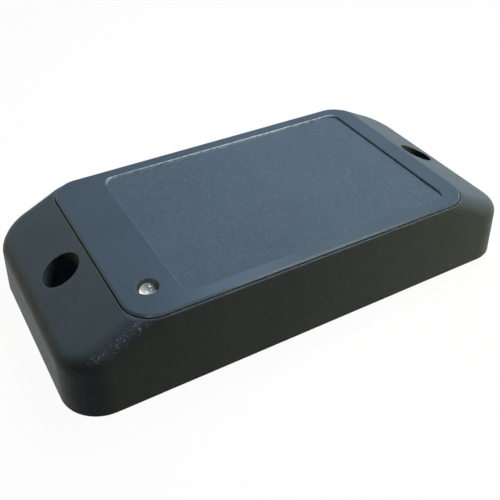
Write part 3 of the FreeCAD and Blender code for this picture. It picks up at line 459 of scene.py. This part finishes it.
def enamelled_wire():
    """Bonded copper winding: fine turns, one above the other, on every side of the ring."""
    material, tree, shader = new_material("enamelled_wire", WIRE_COLOUR, roughness=0.3, metallic=0.6)
    point = places(tree)
    turn_height = 0.3 * MM
    turns = maths(tree, "SINE", times(tree, axes(tree, point)[2], 2 * math.pi / turn_height))
    rise = spread(tree, turns, low=0.4, high=1.0)
    enamel = noise(tree, point, size=4 * MM, detail=3.0)
    colour = mix_colours(tree, enamel, WIRE_DEEP_COLOUR, WIRE_PALE_COLOUR)
    feed(tree, shader.inputs["Base Color"], colour)
    feed(tree, shader.inputs["Roughness"], spread(tree, enamel, low=0.24, high=0.38))
    feed(tree, shader.inputs["Normal"], bump(tree, rise, depth=0.06 * MM, strength=0.8))
    return material


def brushed_metal(name, colour, roughness, line_size):
    """Metal with fine lines from drawing or turning."""
    material, tree, shader = new_material(name, colour, roughness, metallic=1.0)
    stretched = add(tree, "Mapping", {"Vector": places(tree), "Scale": (1, 1, 14)})
    lines = noise(tree, stretched.outputs["Vector"], size=line_size, detail=3.0)
    feed(tree, shader.inputs["Base Color"], mix_colours(tree, lines, shade(colour, 0.8), colour))
    feed(tree, shader.inputs["Roughness"], spread(tree, lines, low=0.8 * roughness, high=1.3 * roughness))
    feed(tree, shader.inputs["Normal"], bump(tree, lines, depth=0.01 * MM, strength=0.4))
    return material


def dress(material, *names):
    """Give CAD nodes their finish."""
    for name in names:
        data = nodes[name].data
        data.materials.clear()
        data.materials.append(material)


# Each finish, and the nodes that wear it

dress(housing_plastic(), "housing")
dress(cover_plastic(), "face_cover")
dress(clear_lens(), "indicator_lamp")
dress(
    speckled(
        "plate_plastic", (0.02, 0.024, 0.027, 1), roughness=0.5, blotch=6 * MM, depth=0.03 * MM,
        specular=0.3,
    ),
    "back_plate",
)
dress(
    speckled(
        "seal_foam", (0.012, 0.012, 0.013, 1), roughness=0.9, blotch=1.2 * MM, depth=0.2 * MM,
        specular=0.15,
    ),
    "back_seal",
)
dress(
    speckled(
        "grommet_rubber", (0.01, 0.01, 0.011, 1), roughness=0.68, blotch=3 * MM, depth=0.04 * MM,
        specular=0.25,
    ),
    "cable_grommet",
)
dress(
    brushed_metal("zinc_plate", (0.62, 0.63, 0.64, 1), roughness=0.32, line_size=1.2 * MM),
    "back_screws", "board_screws",
)
dress(board_laminate(), "circuit_board")
dress(enamelled_wire(), "antenna_coil")
dress(
    speckled(
        "lead_wire", (0.5, 0.17, 0.05, 1), roughness=0.35, blotch=1 * MM, depth=0.01 * MM,
        metallic=0.8,
    ),
    "coil_leads",
)
dress(
    brushed_metal("tinned_metal", (0.72, 0.71, 0.68, 1), roughness=0.28, line_size=0.6 * MM),
    "lamp_leads", "buzzer_pins", "controller_legs", "reader_chip_legs", "header_pins",
)
dress(
    speckled("holder_nylon", (0.7, 0.68, 0.6, 1), roughness=0.5, blotch=3 * MM, depth=0.02 * MM),
    "lamp_holder",
)
dress(
    speckled("buzzer_case", (0.014, 0.014, 0.015, 1), roughness=0.45, blotch=2 * MM, depth=0.02 * MM),
    "buzzer",
)
dress(
    speckled(
        "black_epoxy", (0.017, 0.017, 0.018, 1), roughness=0.55, blotch=1.5 * MM, depth=0.02 * MM,
        specular=0.4,
    ),
    "controller_chip", "reader_chip", "input_diode", "transistors",
)
dress(
    brushed_metal("can_metal", (0.74, 0.74, 0.73, 1), roughness=0.25, line_size=2 * MM),
    "crystal", "filter_capacitor",
)
dress(
    speckled("resistor_glaze", (0.03, 0.03, 0.035, 1), roughness=0.3, blotch=1 * MM, depth=0.01 * MM),
    "chip_resistors",
)
dress(
    speckled("capacitor_ceramic", (0.42, 0.29, 0.16, 1), roughness=0.4, blotch=1 * MM, depth=0.01 * MM),
    "chip_capacitors",
)
dress(
    speckled("film_case", (0.55, 0.42, 0.2, 1), roughness=0.4, blotch=2 * MM, depth=0.02 * MM),
    "tuning_capacitors",
)
dress(
    speckled("regulator_case", (0.02, 0.02, 0.021, 1), roughness=0.5, blotch=2 * MM, depth=0.02 * MM),
    "voltage_regulator",
)
dress(
    speckled("choke_ferrite", (0.05, 0.05, 0.052, 1), roughness=0.6, blotch=1.5 * MM, depth=0.04 * MM),
    "choke",
)
dress(
    speckled("header_plastic", (0.75, 0.72, 0.62, 1), roughness=0.45, blotch=3 * MM, depth=0.02 * MM),
    "cable_header",
)


# Inside of the clear lamp

def lathe(name, profile, centre, steps=48):
    """A turned form about an upright axis; profile is (radius, height) from the axis round to it."""
    form = bmesh.new()
    rings = []
    for radius, height in profile:
        if radius == 0:
            rings.append([form.verts.new((centre.x, centre.y, height))])
            continue
        ring = []
        for step in range(steps):
            angle = 2 * math.pi * step / steps
            ring.append(form.verts.new((
                centre.x + radius * math.cos(angle), centre.y + radius * math.sin(angle), height,
            )))
        rings.append(ring)
    for low, high in zip(rings, rings[1:]):
        for step in range(steps):
            following = (step + 1) % steps
            corners = [
                low[step % len(low)], low[following % len(low)],
                high[following % len(high)], high[step % len(high)],
            ]
            unique = list(dict.fromkeys(corners))
            if len(unique) > 2:
                form.faces.new(unique)
    bmesh.ops.recalc_face_normals(form, faces=form.faces)
    mesh = bpy.data.meshes.new(name)
    form.to_mesh(mesh)
    form.free()
    for face in mesh.polygons:
        face.use_smooth = True
    piece = bpy.data.objects.new(name, mesh)
    bpy.context.scene.collection.objects.link(piece)
    return piece


def dish_painted_light():
    """Painted light and shade: pale, as if lit, towards the front left corner of the reader, and painted
    dark shade on the side away from it.
    """
    material, tree, shader = new_material("dish_painted_light", DISH_COLOUR, roughness=0.5, specular=0.3)
    point = places(tree)
    from_middle = vectors(tree, "SUBTRACT", point, (lamp_middle.x, lamp_middle.y, 0))
    # The side towards the front left is painted as lit, the far side as in painted shade
    painted_lit_side = (-0.75, -0.66, 0)
    toward = vectors(tree, "DOT_PRODUCT", from_middle, painted_lit_side, output="Value")
    middle_part = smooth_step(tree, toward, low=-0.92 * MM, high=-0.18 * MM)
    colour = mix_colours(tree, middle_part, DISH_PAINTED_SHADE_COLOUR, DISH_MIDDLE_COLOUR)
    near_part = smooth_step(tree, toward, low=-0.2 * MM, high=0.25 * MM)
    colour = mix_colours(tree, near_part, colour, DISH_PAINTED_LIT_COLOUR)
    flow = noise(tree, point, size=1.1 * MM)
    brightness = spread(tree, flow, low=0.75, high=1.0)
    colour = mix_colours(tree, 1.0, colour, brightness, blend="MULTIPLY")
    feed(tree, shader.inputs["Base Color"], colour)
    feed(tree, shader.inputs["Normal"], bump(tree, flow, depth=0.02 * MM, strength=0.5))
    return material


def make_lamp_dish():
    """The dish on its stem inside the resin, which carries the light source."""
    rim = lamp_high.z - 1.45 * MM
    foot = lamp_low.z + 0.4 * MM
    stem_radius = 0.9 * MM
    outer_radius = 1.3 * MM
    lip_radius = 1.15 * MM
    hollow_radius = 0.55 * MM
    dish = lathe("lamp_dish", [
        (0, foot),
        (stem_radius, foot),
        (stem_radius, rim - 0.9 * MM),
        (outer_radius, rim - 0.1 * MM),
        (outer_radius, rim),
        (lip_radius, rim),
        (hollow_radius, rim - 0.5 * MM),
        (0, rim - 0.55 * MM),
    ], lamp_middle)
    dish.data.materials.append(dish_painted_light())
    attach(dish, "root")


make_lamp_dish()


# Floor, light and camera

def white_sight(tree):
    """1 for the rays that see the white background: the camera's, mirrored and refracted ones."""
    rays = add(tree, "LightPath").outputs
    bent = maths(tree, "MAXIMUM", rays["Is Glossy Ray"], rays["Is Transmission Ray"])
    return maths(tree, "MAXIMUM", rays["Is Camera Ray"], bent)


def make_floor():
    """A floor that shows white and keeps a soft shadow; light that bounces off it is dim and warm."""
    mesh = bpy.data.meshes.new("floor")
    reach = FLOOR_HALF_WIDTH
    corners = [(-reach, -reach), (reach, -reach), (reach, reach), (-reach, reach)]
    mesh.from_pydata([(x, y, FLOOR_HEIGHT) for x, y in corners], [], [(0, 1, 2, 3)])
    floor = bpy.data.objects.new("floor", mesh)
    bpy.context.scene.collection.objects.link(floor)
    material = bpy.data.materials.new("pale_floor")
    material.use_nodes = True
    tree = material.node_tree
    glow = add(tree, "Emission", {"Color": WHITE, "Strength": 1.0})
    lit = add(tree, "BsdfDiffuse", {"Color": WHITE})
    # The shadow fades out far from the object, so that no horizon shows
    near = smooth_step(tree, vectors(tree, "LENGTH", places(tree), output="Value"), low=0.4, high=0.15)
    shown = mix_shaders(tree, times(tree, near, LIT_SHARE), glow, lit)
    bounce = add(tree, "BsdfDiffuse", {"Color": BOUNCE_COLOUR})
    show(tree, mix_shaders(tree, white_sight(tree), bounce, shown))
    mesh.materials.append(material)


def make_world():
    """White behind the object; the light that it gives is weak and comes from high above."""
    world = bpy.data.worlds.new("studio")
    bpy.context.scene.world = world
    world.use_nodes = True
    tree = world.node_tree
    tree.nodes.clear()
    up = axes(tree, add(tree, "TexCoord").outputs["Generated"])[2]
    level = spread(tree, smooth_step(tree, up, low=0.2, high=1.0), low=0.005, high=0.05)
    sky = add(tree, "Background", {"Color": SKY_COLOUR, "Strength": level})
    white = add(tree, "Background", {"Color": WHITE, "Strength": 1.0})
    both = mix_shaders(tree, white_sight(tree), sky, white)
    output = add(tree, "OutputWorld")
    tree.links.new(both.outputs["Shader"], output.inputs["Surface"])


def make_lamp(name, place, target, size, power, colour=(1, 1, 1), fills=True, mirrored=True):
    """A square soft lamp that points at a target; it can fill only, or be mirrored only."""
    light = bpy.data.lights.new(name, "AREA")
    light.shape = "SQUARE"
    light.size = size
    light.energy = power
    light.color = colour
    lamp = bpy.data.objects.new(name, light)
    lamp.location = place
    lamp.rotation_mode = "QUATERNION"
    lamp.rotation_quaternion = (Vector(target) - Vector(place)).to_track_quat("-Z", "Y")
    lamp.visible_diffuse = fills
    lamp.visible_glossy = mirrored
    bpy.context.scene.collection.objects.link(lamp)


def make_lamps():
    """Two lamps from above, two warm ones from low down, and three that are only mirrored."""
    make_lamp("key", place=(0.089, 0.016, 0.2), target=(0, 0, 0), size=0.09, power=0.39)
    make_lamp(
        "cool_back", place=(0.215, 0.256, 0.372), target=(0, 0, 0), size=0.2, power=0.5,
        colour=(0.68, 0.94, 0.98),
    )
    make_lamp(
        "warm_front", place=(0.125, -0.11, 0.035), target=(0, 0, 0.005), size=0.06, power=0.1,
        colour=(1.0, 0.76, 0.36), mirrored=False,
    )
    make_lamp(
        "warm_left", place=(-0.13, 0.06, 0.016), target=(-0.045, 0, 0.008), size=0.07, power=0.037,
        colour=(1.0, 0.75, 0.22), mirrored=False,
    )
    make_lamp(
        "edge_light", place=(0.15, -0.215, 0.245), target=(0, 0, 0.015), size=0.12, power=0.26,
        colour=(0.82, 0.91, 1.0), fills=False,
    )
    make_lamp(
        "front_glint", place=(-0.143, -0.193, 0.152), target=(-0.038, -0.02, 0.012), size=0.085,
        power=0.3, colour=(0.78, 0.88, 1.0), fills=False,
    )
    make_lamp(
        "margin_sheen", place=(0.112, 0.208, 0.25), target=(-0.015, -0.021, 0.0177), size=0.07,
        power=0.12, colour=(0.38, 0.6, 1.0), fills=False,
    )


def make_camera():
    """The camera at the photograph's viewing angle."""
    data = bpy.data.cameras.new("camera")
    data.lens = CAMERA_LENS
    data.sensor_width = SENSOR_WIDTH
    data.clip_start = CAMERA_CLIP_START
    camera = bpy.data.objects.new("camera", data)
    camera.location = CAMERA_PLACE
    camera.rotation_mode = "QUATERNION"
    aim = (CAMERA_TARGET - CAMERA_PLACE).to_track_quat("-Z", "Y")
    camera.rotation_quaternion = aim @ Quaternion((0, 0, 1), CAMERA_ROLL)
    bpy.context.scene.collection.objects.link(camera)
    bpy.context.scene.camera = camera


make_floor()
make_world()
make_lamps()
make_camera()
bpy.context.scene.view_settings.view_transform = "Standard"
